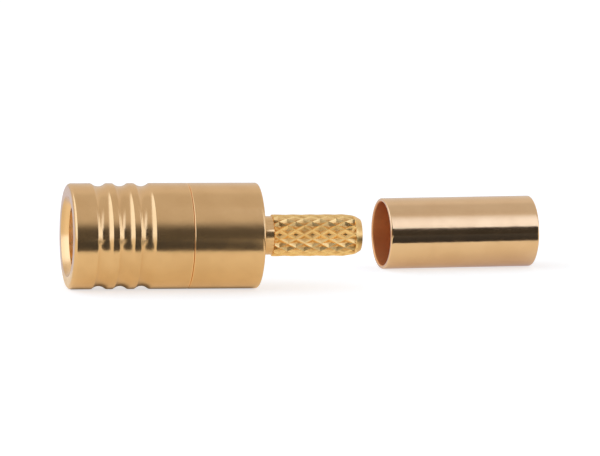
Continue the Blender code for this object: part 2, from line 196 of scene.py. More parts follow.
def light_tent():
    """World with a pale roof and back, bright side walls and a dark opening in front."""
    world = bpy.data.worlds.new("light_tent")
    bpy.context.scene.world = world
    world.use_nodes = True
    tree = world.node_tree
    tree.nodes.clear()
    direction = add_node(tree, "ShaderNodeTexCoord").outputs["Generated"]
    axes = add_node(tree, "ShaderNodeSeparateXYZ", {0: direction})
    forward = calculate(tree, "MULTIPLY", axes.outputs["Y"], -1.0)
    along = calculate(tree, "ARCSINE", axes.outputs["X"])
    turned = calculate(tree, "ARCTAN2", axes.outputs["Z"], forward)

    light = (*ROOF_LIGHT, 1.0)
    # A colour, then its middle, reach and soft edge in degrees, each along X and round it.
    patches = (
        (BACK_LIGHT, (0.0, 142.0), (90.0, 28.0), (8.0, 8.0)),
        (WALL_LIGHT, (-62.0, 62.0), (32.0, 70.0), (5.0, 5.0)),
        (WALL_LIGHT, (60.0, 12.0), (18.0, 22.0), (4.0, 6.0)),
        (WALL_LIGHT, (80.0, 20.0), (14.0, 120.0), (4.0, 15.0)),
        (OPENING_LIGHT, (6.0, -29.0), (36.0, 61.0), (3.5, 12.0)),
        (CORNER_LIGHT, (30.0, -34.0), (13.0, 60.0), (2.5, 4.0)),
    )
    for colour, middle, reach, edge in patches:
        mask = wall_patch(tree, (along, turned), middle, reach, edge)
        light = mix_colours(tree, mask, light, (*colour, 1.0))

    seen = add_node(tree, "ShaderNodeLightPath").outputs["Is Camera Ray"]
    lit = add_node(tree, "ShaderNodeBackground", {"Color": light})
    plain = add_node(tree, "ShaderNodeBackground", {"Color": (1.0, 1.0, 1.0, 1.0)})
    both = add_node(tree, "ShaderNodeMixShader", {0: seen, 1: lit.outputs[0], 2: plain.outputs[0]})
    add_node(tree, "ShaderNodeOutputWorld", {"Surface": both.outputs[0]})


light_tent()
print("tent roof", ROOF_LIGHT, "walls", WALL_LIGHT, "opening", OPENING_LIGHT)

# %% [markdown]
# ## Floor
#
# A plain white sheet under the plug. It is a matt surface that takes the light of the
# tent and the soft shadow of the plug. A little of its own light, for the camera and for
# mirror-like surfaces alone, lifts it to the white of the background. In reflections this
# glow is painted warmer before the plug, towards the room, and cooler behind it, and a
# painted shadow keeps it dim in the narrow gap under the body, which little light reaches.

# %% White floor sheet
FLOOR_SIZE = 3.0
FLOOR_WHITE = 0.55
SEEN_GLOW = (0.65, 0.65, 0.65, 1.0)
# Glow that only reflections see, painted warm in front and cool behind; the gap limits paint a
# shadow under the body.
FRONT_GLOW = (0.5, 0.465, 0.34, 1.0)
REAR_GLOW = (0.29, 0.28, 0.36, 1.0)
REAR_START = 1.0 * MM
REAR_FULL = 5.0 * MM
GAP_DIM = 0.35 * MM
GAP_LIT = 1.2 * MM
GAP_HALF_LENGTH = 5.4 * MM
GAP_SHARE = 0.2


def floor_paper():
    """Matt white that lifts to plain white where it is seen; its glow in reflections is painted warm
    and cool, with a painted shadow under the body.
    """
    material = bpy.data.materials.new("floor_paper")
    material.use_nodes = True
    tree = material.node_tree
    tree.nodes.clear()
    white = (FLOOR_WHITE, FLOOR_WHITE, FLOOR_WHITE, 1.0)
    paper = add_node(tree, "ShaderNodeBsdfDiffuse", {"Color": white})
    path = add_node(tree, "ShaderNodeLightPath")
    mirrored = calculate(
        tree, "MAXIMUM", path.outputs["Is Glossy Ray"], path.outputs["Is Transmission Ray"])
    place = add_node(tree, "ShaderNodeTexCoord").outputs["Object"]
    parts = add_node(tree, "ShaderNodeSeparateXYZ", {0: place})
    depth = parts.outputs["Y"]
    # Painted shadow: the glow seen in reflections is dimmed in the gap under the body.
    gap_middle = PLUG_START.x + GAP_HALF_LENGTH
    gap_limits = (
        (depth, PLUG_START.y, GAP_DIM, GAP_LIT),
        (parts.outputs["X"], gap_middle, GAP_HALF_LENGTH - GAP_DIM, GAP_HALF_LENGTH))
    open_floor = GAP_SHARE
    for here, middle, dim, lit in gap_limits:
        away = calculate(tree, "ABSOLUTE", calculate(tree, "SUBTRACT", here, middle))
        open_floor = calculate(tree, "MAXIMUM", open_floor, soft_step(tree, away, dim, lit))
    mirrored = calculate(tree, "MULTIPLY", mirrored, open_floor)
    # Painted reflection colour: the glow seen in reflections is warmer in front and cooler behind.
    behind = soft_step(tree, depth, REAR_START, REAR_FULL)
    mirrored_glow = mix_colours(tree, behind, FRONT_GLOW, REAR_GLOW)
    surface = paper
    for colour, seen in ((SEEN_GLOW, path.outputs["Is Camera Ray"]), (mirrored_glow, mirrored)):
        glow = add_node(tree, "ShaderNodeEmission", {"Color": colour, "Strength": seen})
        surface = add_node(
            tree, "ShaderNodeAddShader", {0: surface.outputs[0], 1: glow.outputs[0]})
    add_node(tree, "ShaderNodeOutputMaterial", {"Surface": surface.outputs[0]})
    return material


bpy.ops.object.select_all(action="DESELECT")
bpy.ops.mesh.primitive_plane_add(size=FLOOR_SIZE)
floor = bpy.context.object
floor.name = "floor"
floor.data.materials.append(floor_paper())
print("floor", FLOOR_SIZE, "m wide")

# %% [markdown]
# ## Drawing with one vertex
#
# Turned pieces and flat outlines both start as one vertex. A small plane is merged to its
# centre and moved to the first point, and each extrusion then draws one more line. The
# same helper serves the cards below and every profile for the lathe. Points that lie on
# each other are welded afterwards.


# %% Helpers that draw a line of points and weld it
WELD = 0.0001 * MM


def draw_points(name, places):
    """Draws a chain of vertices and stays in edit mode."""
    bpy.ops.object.select_all(action="DESELECT")
    bpy.ops.mesh.primitive_plane_add(size=MM)
    piece = bpy.context.object
    piece.name = name
    piece.data.name = name
    bpy.ops.object.mode_set(mode="EDIT")
    bpy.ops.mesh.select_all(action="SELECT")
    bpy.ops.mesh.merge(type="CENTER")
    bpy.ops.transform.translate(value=places[0])
    for here, there in zip(places, places[1:]):
        bpy.ops.mesh.extrude_region_move(TRANSFORM_OT_translate={"value": there - here})
    return piece


def weld(threshold=WELD):
    """Merges the points that lie on each other, in the piece that is in edit mode."""
    bpy.ops.mesh.select_all(action="SELECT")
    bpy.ops.mesh.remove_doubles(threshold=threshold)


# %% [markdown]
# ## Cards
#
# A photographer lays a dark card in front of polished metal, to give its reflection of
# the floor a crisp dark edge. One starts a few millimetres before each piece and widens
# towards the camera. Where it starts follows from two angles: how steeply the camera looks
# down across the piece, and how steeply the mirrored line of sight runs on to the floor
# at the lower edge of the dark band. Only mirror-like surfaces see the cards: they are
# hidden from the camera and cast no shadow.

# %% Dark cards before the pieces
CARD_HEIGHT = 0.02 * MM
CARD_REACH = 1400.0 * MM
CARD_WELD = 0.001 * MM
CARD_ROUGHNESS = 0.9
CARD_SPREAD = math.radians(30.0)
NARROW_SPREAD = math.radians(12.0)
FERRULE_SPREAD = math.radians(18.0)
SEEN_TILT = math.radians(8.14)
BAND_ANGLE = math.radians(25.5)
BODY_LENGTH = 10.9 * MM
CARD_BEFORE_PLUG = 3.0 * MM
CARD_PAST_BODY = 1.7 * MM
CARD_PAST_FERRULE = 4.0 * MM
PLUG_CARD_SHADE = 0.045
FERRULE_CARD_SHADE = 0.015


def card_start(radius):
    """How far before the axis of a round piece on the floor its card starts."""
    facing = (SEEN_TILT - BAND_ANGLE) / 2.0
    height = radius + radius * math.sin(facing)
    return radius * math.cos(facing) + height / math.tan(BAND_ANGLE)


def reflected_card(name, places, shade):
    """A flat card of a dark grey that only mirror-like surfaces see."""
    card = draw_points(name, places + places[:1])
    weld(CARD_WELD)
    bpy.ops.mesh.select_all(action="SELECT")
    bpy.ops.mesh.edge_face_add()
    bpy.ops.object.mode_set(mode="OBJECT")
    material = bpy.data.materials.new(name)
    material.use_nodes = True
    shader = material.node_tree.nodes["Principled BSDF"]
    shader.inputs["Base Color"].default_value = (shade, shade, shade, 1.0)
    shader.inputs["Roughness"].default_value = CARD_ROUGHNESS
    card.data.materials.append(material)
    card.visible_camera = False
    card.visible_diffuse = False
    card.visible_transmission = False
    card.visible_shadow = False
    return card


def floor_places(*pairs):
    """Points just above the floor."""
    return [Vector((x, y, CARD_HEIGHT)) for x, y in pairs]


body_edge = PLUG_START.y - card_start(BODY_RADIUS)
reach_y = PLUG_START.y - CARD_REACH
fan = CARD_REACH * math.tan(CARD_SPREAD)
narrow_fan = CARD_REACH * math.tan(NARROW_SPREAD)
left = PLUG_START.x - CARD_BEFORE_PLUG
right = PLUG_START.x + BODY_LENGTH + CARD_PAST_BODY
reflected_card("plug_card", floor_places(
    (left, body_edge), (right, body_edge), (right + narrow_fan, reach_y),
    (left - fan, reach_y)), PLUG_CARD_SHADE)

ferrule_far = FERRULE_START + FERRULE_AXIS * FERRULE_LENGTH
tube_gap = card_start(FERRULE_RADIUS)
tube_fan = CARD_REACH * math.tan(FERRULE_SPREAD)
left = FERRULE_START.x
right = ferrule_far.x + CARD_PAST_FERRULE
reflected_card("ferrule_card", floor_places(
    (left, FERRULE_START.y - tube_gap), (right, ferrule_far.y - tube_gap),
    (right + fan, reach_y), (left + tube_fan, reach_y)), FERRULE_CARD_SHADE)
print("cards start", round((PLUG_START.y - body_edge) / MM, 2), round(tube_gap / MM, 2), "mm off")

# %% [markdown]
# ## Lamp
#
# A lamp with a wide diffuser hangs in front on the right, where the ferrule's side and the
# rounded end of the post show it. The diffuser's own colour is nearly black, so all its
# brightness is its light, which fades upwards into the roof. It is hidden as the cards are.

# %% Diffuser of the lamp
LAMP_SHADE = 0.015
LAMP_LIGHT = (1.16, 1.35, 1.75, 1.0)
LAMP_FADE = (45.0 * MM, 160.0 * MM)
LAMP_DISTANCE = 60.0 * MM
LAMP_SIDES = (22.0 * MM, 85.0 * MM)
LAMP_FOOT = 28.5 * MM
LAMP_TOP = 190.0 * MM


def lamp_diffuser():
    """A standing sheet whose light fades upwards into the roof's."""
    lamp_y = FERRULE_START.y - LAMP_DISTANCE
    near, far = LAMP_SIDES
    corners = ((near, LAMP_FOOT), (far, LAMP_FOOT), (far, LAMP_TOP), (near, LAMP_TOP))
    lamp = reflected_card(
        "lamp_diffuser", [Vector((x, lamp_y, z)) for x, z in corners], LAMP_SHADE)
    tree = lamp.data.materials[0].node_tree
    place = add_node(tree, "ShaderNodeTexCoord").outputs["Object"]
    height = add_node(tree, "ShaderNodeSeparateXYZ", {0: place}).outputs["Z"]
    share = soft_step(tree, height, *LAMP_FADE)
    light = mix_colours(tree, share, LAMP_LIGHT, (*ROOF_LIGHT, 1.0))
    shader = tree.nodes["Principled BSDF"]
    shader.inputs["Emission Strength"].default_value = 1.0
    tree.links.new(light, shader.inputs["Emission Color"])
    return lamp


lamp = lamp_diffuser()
print("lamp", [round(size / MM, 1) for size in lamp.dimensions], "mm")

# %% [markdown]
# ## Gold plating
#
# Gold plate is thin, so it shows the surface below it. A turned brass piece keeps the
# fine rings that the tool left, on its sides and on its end faces. They follow the place
# along the axis and the distance from it, so those two numbers drive the marks, and the
# angle round the axis lets them waver. Polishing leaves the surface very slightly wavy,
# and handling leaves faint cloudy patches of another gloss. Proud edges get a slightly
# brighter colour and the hollows a deeper one, painted shade, by a number that each vertex
# gets once its piece is modelled: above zero on an edge, below zero in the hollows.


# %% Patterns that follow a piece's axis
RING_DETAIL = 3.0
CLOUD_DETAIL = 4.0


def axis_coordinates(tree, start, yaw):
    """Object coordinates measured from a piece's axis: along it, and round it."""
    place = add_node(tree, "ShaderNodeTexCoord").outputs["Object"]
    shifted = add_node(
        tree, "ShaderNodeVectorMath", {0: place, 1: start}, operation="SUBTRACT").outputs[0]
    turned = add_node(
        tree, "ShaderNodeVectorRotate", {"Vector": shifted, "Angle": -yaw},
        rotation_type="Z_AXIS").outputs[0]
    return turned


def noise(tree, place, scale, detail):
    """Soft noise between 0 and 1."""
    inputs = {"Vector": place, "Scale": scale, "Detail": detail}
    outputs = add_node(tree, "ShaderNodeTexNoise", inputs).outputs
    return outputs["Factor" if "Factor" in outputs else "Fac"]


def tool_marks(tree, place, pitch, wobble):
    """Rings left by a lathe tool: noise over depth and radius that wavers round the axis."""
    parts = add_node(tree, "ShaderNodeSeparateXYZ", {0: place})
    across = add_node(
        tree, "ShaderNodeVectorMath", {0: place, 1: (0.0, 1.0, 1.0)}, operation="MULTIPLY")
    radius = add_node(
        tree, "ShaderNodeVectorMath", {0: across.outputs[0]}, operation="LENGTH").outputs["Value"]
    round_axis = calculate(tree, "ARCTAN2", parts.outputs["Y"], parts.outputs["Z"])
    ring = add_node(tree, "ShaderNodeCombineXYZ", {
        0: calculate(tree, "DIVIDE", parts.outputs["X"], pitch),
        1: calculate(tree, "DIVIDE", radius, pitch),
        2: calculate(tree, "MULTIPLY", round_axis, wobble)})
    return noise(tree, ring.outputs[0], 1.0, RING_DETAIL)


def cloudy(tree, place, size):
    """Soft patches of about the given size."""
    return noise(tree, place, 1.0 / size, CLOUD_DETAIL)


# %% Materials of the plated pieces
WAVE_HEIGHT = 0.005 * MM
WAVE_SIZE = 0.5 * MM
CLOUD_SIZE = 1.6 * MM
CLOUD_LIMITS = (0.3, 0.7)
DEEP_LIMITS = (0.35, 0.7)
DEEP_SHARE = 0.6
# Limits on the edge number: proud edges get a brighter colour, and painted shade deepens the
# hollows.
PROUD_EDGE_LIMITS = (0.03, 0.14)
HOLLOW_SHADE_LIMITS = (-0.3, -0.06)
PROUD_EDGE_BRIGHTER = 1.12
NOISE_MEAN = 0.5


def plated(
        name, colour, deep_and_hollow_shade, roughness, spread, pitch, height, wobble=0.6, start=PLUG_START, yaw=0.0):
    """Gold plate: its colour and a deeper tone, also painted into the hollows as shade, its
    roughness, and the pitch and height of the tool's rings.
    """
    material = bpy.data.materials.new(name)
    material.use_nodes = True
    tree = material.node_tree
    shader = tree.nodes["Principled BSDF"]
    shader.inputs["Metallic"].default_value = 1.0
    place = axis_coordinates(tree, start, yaw)
    clouds = cloudy(tree, place, CLOUD_SIZE)
    rings = tool_marks(tree, place, pitch, wobble)
    edges = add_node(tree, "ShaderNodeAttribute", attribute_name="edge").outputs["Fac"]
    proud_edge = soft_step(tree, edges, *PROUD_EDGE_LIMITS)
    # Painted shade: the deeper tone darkens the hollows.
    hollow_shade = soft_step(tree, edges, *HOLLOW_SHADE_LIMITS, 1.0, 0.0)
    shade = calculate(tree, "MULTIPLY", soft_step(tree, clouds, *DEEP_LIMITS), DEEP_SHARE)
    shade = calculate(tree, "MAXIMUM", shade, hollow_shade)
    tone = mix_colours(tree, shade, (*colour, 1.0), (*deep_and_hollow_shade, 1.0))
    bright = tuple(min(1.0, value * PROUD_EDGE_BRIGHTER) for value in colour)
    tone = mix_colours(tree, proud_edge, tone, (*bright, 1.0))
    tree.links.new(tone, shader.inputs["Base Color"])
    rough = soft_step(tree, clouds, *CLOUD_LIMITS, roughness - spread, roughness + spread)
    grain = calculate(tree, "MULTIPLY", calculate(tree, "SUBTRACT", rings, NOISE_MEAN), spread)
    tree.links.new(calculate(tree, "ADD", rough, grain), shader.inputs["Roughness"])
    waves = add_node(
        tree, "ShaderNodeBump", {"Height": cloudy(tree, place, WAVE_SIZE), "Distance": WAVE_HEIGHT})
    bump = add_node(
        tree, "ShaderNodeBump", {"Height": rings, "Distance": height, "Normal": waves.outputs[0]})
    tree.links.new(bump.outputs[0], shader.inputs["Normal"])
    return material


turned_gold = plated(
    "turned_gold", colour=(0.83, 0.52, 0.25), deep_and_hollow_shade=(0.76, 0.46, 0.21),
    roughness=0.2, spread=0.03, pitch=0.05 * MM, height=0.0005 * MM)
tube_gold = plated(
    "tube_gold", colour=(0.85, 0.563, 0.318), deep_and_hollow_shade=(0.79, 0.5, 0.27),
    roughness=0.13, spread=0.03, pitch=0.05 * MM, height=0.0003 * MM,
    start=FERRULE_START, yaw=FERRULE_YAW)
# Painted shade: a redder copy of the ferrule's gold for the inside of its bore.
shaded_bore = plated(
    "shaded_bore", colour=(0.88, 0.46, 0.2), deep_and_hollow_shade=(0.8, 0.38, 0.15),
    roughness=0.5, spread=0.05, pitch=0.05 * MM, height=0.0006 * MM,
    start=FERRULE_START, yaw=FERRULE_YAW)
# Painted highlight and shade: the knurl's gold is painted brighter than the body's, with a much
# darker tone for its pits.
knurled_gold = plated(
    "knurled_gold", colour=(0.94, 0.59, 0.24), deep_and_hollow_shade=(0.62, 0.33, 0.1),
    roughness=0.3, spread=0.05, pitch=0.04 * MM, height=0.0006 * MM, wobble=2.0)
spring_metal = plated(
    "spring_metal", colour=(0.72, 0.43, 0.19), deep_and_hollow_shade=(0.64, 0.36, 0.15),
    roughness=0.24, spread=0.04, pitch=0.04 * MM, height=0.0005 * MM)
golds = (turned_gold, tube_gold, shaded_bore, knurled_gold, spring_metal)
print("plated:", ", ".join(material.name for material in golds))

# %% [markdown]
# ## Fluoropolymer
#
# The insulators are turned from a waxy white plastic. Light goes a little way into it, so
# it scatters some below its surface, and the tool leaves faint rings, made as on the gold.


# %% Material of the insulators
WAX_COLOUR = (0.86, 0.85, 0.8, 1.0)
WAX_DEEP = (0.8, 0.79, 0.73, 1.0)
WAX_ROUGHNESS = (0.38, 0.5)
WAX_SCATTER = 0.25
WAX_DEPTH = 0.3 * MM
WAX_CLOUD_SIZE = 0.8 * MM
WAX_RING_PITCH = 0.06 * MM
WAX_RING_HEIGHT = 0.002 * MM
WAX_RING_WOBBLE = 0.5


def waxy_plastic():
    """Off-white plastic with faint rings and cloudy gloss."""
    material = bpy.data.materials.new("waxy_white")
    material.use_nodes = True
    tree = material.node_tree
    shader = tree.nodes["Principled BSDF"]
    shader.inputs["Subsurface Weight"].default_value = WAX_SCATTER
    shader.inputs["Subsurface Scale"].default_value = WAX_DEPTH
    place = axis_coordinates(tree, PLUG_START, 0.0)
    clouds = cloudy(tree, place, WAX_CLOUD_SIZE)
    rings = tool_marks(tree, place, WAX_RING_PITCH, WAX_RING_WOBBLE)
    shade = soft_step(tree, clouds, *CLOUD_LIMITS)
    tree.links.new(mix_colours(tree, shade, WAX_COLOUR, WAX_DEEP), shader.inputs["Base Color"])
    rough = soft_step(tree, clouds, *CLOUD_LIMITS, *WAX_ROUGHNESS)
    tree.links.new(rough, shader.inputs["Roughness"])
    bump = add_node(tree, "ShaderNodeBump", {"Height": rings, "Distance": WAX_RING_HEIGHT})
    tree.links.new(bump.outputs[0], shader.inputs["Normal"])
    return material


waxy_white = waxy_plastic()
print("plastic:", waxy_white.name)


# %% [markdown]
# ## The lathe
#
# Nearly every real piece here comes off a lathe, and so do the meshes: a profile of points,
# each given by its place along the axis and its radius, is spun once round the axis. The
# seam is welded, the normals are turned outwards, and edges sharper than a set angle keep
# their crease. A long face on the outside of the larger pieces gets one more point close
# to each of its ends, so that the marks and the shading of an edge end there.


# %% Helpers that turn a piece on a lathe
FACETS = 168
CREASE = math.radians(28.0)
EDGE_BAND = 0.08 * MM


def arc(centre, radius, start, end, steps):
    """Points of a circular arc in a profile, angles in degrees from the axis direction."""
    angles = [math.radians(start + (end - start) * step / steps) for step in range(steps + 1)]
    return [
        (centre[0] + radius * math.cos(angle), centre[1] + radius * math.sin(angle))
        for angle in angles]


def spin_profile(name, points, start, axis, facets):
    """Draws a profile of (along, radius) points above an axis, spins it and welds the seam."""
    places = [start + axis * along + Vector((0.0, 0.0, radius)) for along, radius in points]
    piece = draw_points(name, places)
    weld()
    bpy.ops.mesh.select_all(action="SELECT")
    bpy.ops.mesh.spin(steps=facets, angle=math.tau, center=start, axis=axis)
    weld()
    return piece


def apply_modifier(piece, kind, **settings):
    """Adds one modifier with its settings and applies it."""
    modifier = piece.modifiers.new(kind.lower(), kind)
    for name, value in settings.items():
        setattr(modifier, name, value)
    bpy.ops.object.modifier_apply(modifier=modifier.name)


def smooth_shading(piece):
    """Smooth faces with creased edges, where the large faces rule the shading."""
    bpy.ops.object.shade_smooth_by_angle(angle=CREASE)
    apply_modifier(piece, "WEIGHTED_NORMAL", keep_sharp=True)


def close_surface(piece):
    """Turns the normals outwards, leaves edit mode and keeps the sharp edges."""
    bpy.ops.mesh.select_all(action="SELECT")
    bpy.ops.mesh.normals_make_consistent(inside=False)
    bpy.ops.object.mode_set(mode="OBJECT")
    smooth_shading(piece)
    print(piece.name, len(piece.data.polygons), "faces")


def turn_on_lathe(name, points, start=PLUG_START, axis=PLUG_AXIS, facets=FACETS):
    """A piece whose closed profile is spun round its axis."""
    piece = spin_profile(name, points + points[:1], start, axis, facets)
    close_surface(piece)
    return piece


def mark_edges(piece):
    """Writes on each vertex how far it stands out from its neighbours, as a sine."""
    mesh = piece.data
    total = [0.0] * len(mesh.vertices)
    count = [0] * len(mesh.vertices)
    for edge in mesh.edges:
        first, second = edge.vertices
        along = (mesh.vertices[first].co - mesh.vertices[second].co).normalized()
        total[first] += mesh.vertices[first].normal.dot(along)
        total[second] -= mesh.vertices[second].normal.dot(along)
        count[first] += 1
        count[second] += 1
    marks = mesh.attributes.new("edge", "FLOAT", "POINT")
    marks.data.foreach_set("value", [value / max(1, many) for value, many in zip(total, count)])


def finish_piece(piece, material, slot, *nodes):
    """Marks a piece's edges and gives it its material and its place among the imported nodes."""
    mark_edges(piece)
    piece.data.materials.clear()
    piece.data.materials.append(material)
    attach(piece, "root")
    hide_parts(*nodes)


# %% [markdown]
# ## Front shell
#
# The sleeve round the mouth is turned from brass bar. Three round-bottomed grooves give
# the fingers a grip, and polishing has softened their edges. They could be cut into a
# cylinder one by one. Here they are part of the profile, as for a real form tool: each is
# three arcs that run into each other without a corner.

# %% Front shell with its grip grooves
SHELL_LENGTH = 6.815 * MM
FRONT_ROUND = 0.22 * MM
SHELL_CHAMFER = 0.01 * MM
MOUTH_RADIUS = 1.9 * MM
FLARE_DEPTH = 0.4 * MM
FLARE_RISE = 0.4 * MM
FLARE_EDGE = 0.05 * MM
LIP_DEPTH = 0.7 * MM
CAVITY_RADIUS = 2.42 * MM
SEAT_RADIUS = 2.55 * MM
SEAT_START = 3.7 * MM
GROOVE_PLACES = (1.77 * MM, 2.995 * MM, 4.22 * MM)
GROOVE_WIDTH = 0.86 * MM
GROOVE_DEPTH = 0.175 * MM
GROOVE_EDGE = 0.15 * MM


def groove(centre):
    """Profile of one groove: its round floor between two softened edges."""
    radius = GROOVE_WIDTH ** 2 / (8.0 * GROOVE_DEPTH) + GROOVE_DEPTH / 2.0
    lift = radius - GROOVE_DEPTH
    reach = math.sqrt((radius + GROOVE_EDGE) ** 2 - (lift + GROOVE_EDGE) ** 2)
    turn = math.degrees(math.atan2(lift + GROOVE_EDGE, reach))
    edge_radius = BODY_RADIUS - GROOVE_EDGE
    front_edge = arc((centre - reach, edge_radius), GROOVE_EDGE, 90.0, turn, 5)
    floor_arc = arc((centre, BODY_RADIUS + lift), radius, 180.0 + turn, 360.0 - turn, 14)
    back_edge = arc((centre + reach, edge_radius), GROOVE_EDGE, 180.0 - turn, 90.0, 5)
    return front_edge + floor_arc[1:-1] + back_edge


rim_radius = MOUTH_RADIUS + FLARE_RISE
flare_to_face = 90.0 - math.degrees(math.atan2(FLARE_RISE, FLARE_DEPTH))
edge_radius = rim_radius + FLARE_EDGE * math.tan(math.radians(flare_to_face / 2.0))
shell_profile = [(FLARE_DEPTH, MOUTH_RADIUS)]
shell_profile += arc((FLARE_EDGE, edge_radius), FLARE_EDGE, 180.0 + flare_to_face, 180.0, 4)
shell_profile += arc((FRONT_ROUND, BODY_RADIUS - FRONT_ROUND), FRONT_ROUND, 180.0, 90.0, 8)
shell_profile.append((FRONT_ROUND + EDGE_BAND, BODY_RADIUS))
for place in GROOVE_PLACES:
    shell_profile += groove(place)
shell_profile += [
    (SHELL_LENGTH - SHELL_CHAMFER - EDGE_BAND, BODY_RADIUS),
    (SHELL_LENGTH - SHELL_CHAMFER, BODY_RADIUS),
    (SHELL_LENGTH, BODY_RADIUS - SHELL_CHAMFER),
    (SHELL_LENGTH, SEAT_RADIUS),
    (SEAT_START, SEAT_RADIUS),
    (SEAT_START, CAVITY_RADIUS),
    (LIP_DEPTH, CAVITY_RADIUS),
    (LIP_DEPTH, MOUTH_RADIUS)]
front_shell = turn_on_lathe("grooved_shell", shell_profile)
finish_piece(front_shell, turned_gold, "gold_plate", "front_shell")

# %% [markdown]
# ## Crimp ferrule
#
# A short length of thin drawn tube with rounded rims. It could be a cylinder that gets its
# wall and its rounding from modifiers, but turning the whole section at once gives the
# same rims inside and outside. The bore looks redder in the photograph, so its faces get
# a second, redder and rougher copy of the gold: painted shade for the inside of the tube.

# %% Ferrule
FERRULE_WALL = 0.2 * MM
FERRULE_BORE = FERRULE_RADIUS - FERRULE_WALL
FERRULE_EDGE = 0.08 * MM
far = FERRULE_LENGTH - FERRULE_EDGE
outer = FERRULE_RADIUS - FERRULE_EDGE
inner = FERRULE_BORE + FERRULE_EDGE
near_band = FERRULE_EDGE + EDGE_BAND
far_band = far - EDGE_BAND
ferrule_profile = arc((FERRULE_EDGE, outer), FERRULE_EDGE, 180.0, 90.0, 4)
ferrule_profile += [(near_band, FERRULE_RADIUS), (far_band, FERRULE_RADIUS)]
ferrule_profile += arc((far, outer), FERRULE_EDGE, 90.0, 0.0, 4)
ferrule_profile += arc((far, inner), FERRULE_EDGE, 0.0, -90.0, 4)
ferrule_profile += [(far_band, FERRULE_BORE), (near_band, FERRULE_BORE)]
ferrule_profile += arc((FERRULE_EDGE, inner), FERRULE_EDGE, 270.0, 180.0, 4)
ferrule = turn_on_lathe("ferrule_tube", ferrule_profile, FERRULE_START, FERRULE_AXIS)
finish_piece(ferrule, tube_gold, "ferrule_gold", "crimp_ferrule")
ferrule.data.materials.append(shaded_bore)
for face in ferrule.data.polygons:
    out = face.center - FERRULE_START
    out -= FERRULE_AXIS * out.dot(FERRULE_AXIS)
    if out.length < FERRULE_BORE + FERRULE_EDGE / 2.0:
        face.material_index = 1
print("bore faces", sum(face.material_index for face in ferrule.data.polygons))

# %% [markdown]
# ## Diamond knurl of the crimp post
#
# The cable's braid is pushed over the post and the ferrule is crimped on it, so the post
# has a diamond knurl that bites into the braid. Two wheels usually press such lines in.
# Here the knurl is first made flat, as a sheet of diamonds: a square grid is turned by 45
# degrees and stretched until each square is one diamond. Insetting every face by itself
# and sinking it leaves sharp ridges along all edges, with a small flat at the bottom of
# each pit. The sheet is then trimmed to the post's length and girth.

# %% Flat sheet of diamonds
OVERALL_LENGTH = 16.85 * MM
KNURL_STARTS = 14
KNURL_RADIUS = 1.19 * MM
KNURL_START = 11.75 * MM
KNURL_END = 16.4 * MM
KNURL_LENGTH = KNURL_END - KNURL_START
KNURL_GIRTH = math.tau * KNURL_RADIUS
KNURL_PITCH = 0.95 * MM
KNURL_FIRST_PIT = 0.27 * MM
KNURL_FLANK = 0.165 * MM
KNURL_DEPTH = 0.14 * MM
GRID_CELLS = 22
TRIM_WELD = WELD / 10.0
ORIGIN = (0.0, 0.0, 0.0)


def knurled_sheet():
    """A flat sheet of sunk diamonds, as long as the knurl and as wide as its girth."""
    bpy.ops.object.select_all(action="DESELECT")
    bpy.ops.mesh.primitive_grid_add(
        x_subdivisions=GRID_CELLS, y_subdivisions=GRID_CELLS, size=GRID_CELLS * MM)
    sheet = bpy.context.object
    sheet.name = "knurl"
    bpy.ops.object.mode_set(mode="EDIT")
    bpy.ops.mesh.select_all(action="SELECT")
    bpy.ops.transform.rotate(
        value=math.radians(45.0), orient_axis="Z", center_override=ORIGIN)
    diagonal = math.sqrt(2.0) * MM
    bpy.ops.transform.resize(
        value=(KNURL_GIRTH / KNURL_STARTS / diagonal, KNURL_PITCH / diagonal, 1.0),
        center_override=ORIGIN)
    first_pit = KNURL_FIRST_PIT - KNURL_LENGTH / 2.0
    bpy.ops.transform.translate(value=(0.0, first_pit % KNURL_PITCH, 0.0))
    bpy.ops.mesh.select_mode(type="FACE")
    bpy.ops.mesh.inset(thickness=KNURL_FLANK, depth=-KNURL_DEPTH, use_individual=True)
    for side in (1.0, -1.0):
        for trim in (Vector((KNURL_GIRTH / 2.0, 0.0, 0.0)), Vector((0.0, KNURL_LENGTH / 2.0, 0.0))):
            bpy.ops.mesh.select_all(action="SELECT")
            bpy.ops.mesh.bisect(
                plane_co=trim * side, plane_no=trim.normalized() * side, clear_outer=True,
                threshold=TRIM_WELD)
    bpy.ops.object.mode_set(mode="OBJECT")
    return sheet


knurl = knurled_sheet()
print("sheet", [round(size / MM, 2) for size in knurl.dimensions], len(knurl.data.polygons), "faces")

# %% [markdown]
# ## Rolling the knurl up
#
# The sheet's outer end is drawn down with proportional editing, so that the post gets its
# crown. The sheet is stood up and a bend modifier rolls it to a tube, pits inwards. The
# joint is welded and the tube is laid on the plug's axis.

# %% Sheet rolled up to a tube on the post
KNURL_TURN = math.radians(-3.0)
CROWN_LENGTH = 0.5 * MM
CROWN_DROP = 0.072 * MM
ROLL_WELD = 0.002 * MM
QUARTER_TURN = math.radians(90.0)


def select_points(piece, wanted):
    """Selects the vertices whose place passes a test, and the edges between them."""
    bpy.ops.object.mode_set(mode="EDIT")
    bpy.ops.mesh.select_mode(type="VERT")
    bpy.ops.mesh.select_all(action="DESELECT")
    bpy.ops.object.mode_set(mode="OBJECT")
    for vertex in piece.data.vertices:
        vertex.select = wanted(vertex.co)
    bpy.ops.object.mode_set(mode="EDIT")
    bpy.ops.mesh.select_mode(type="VERT")


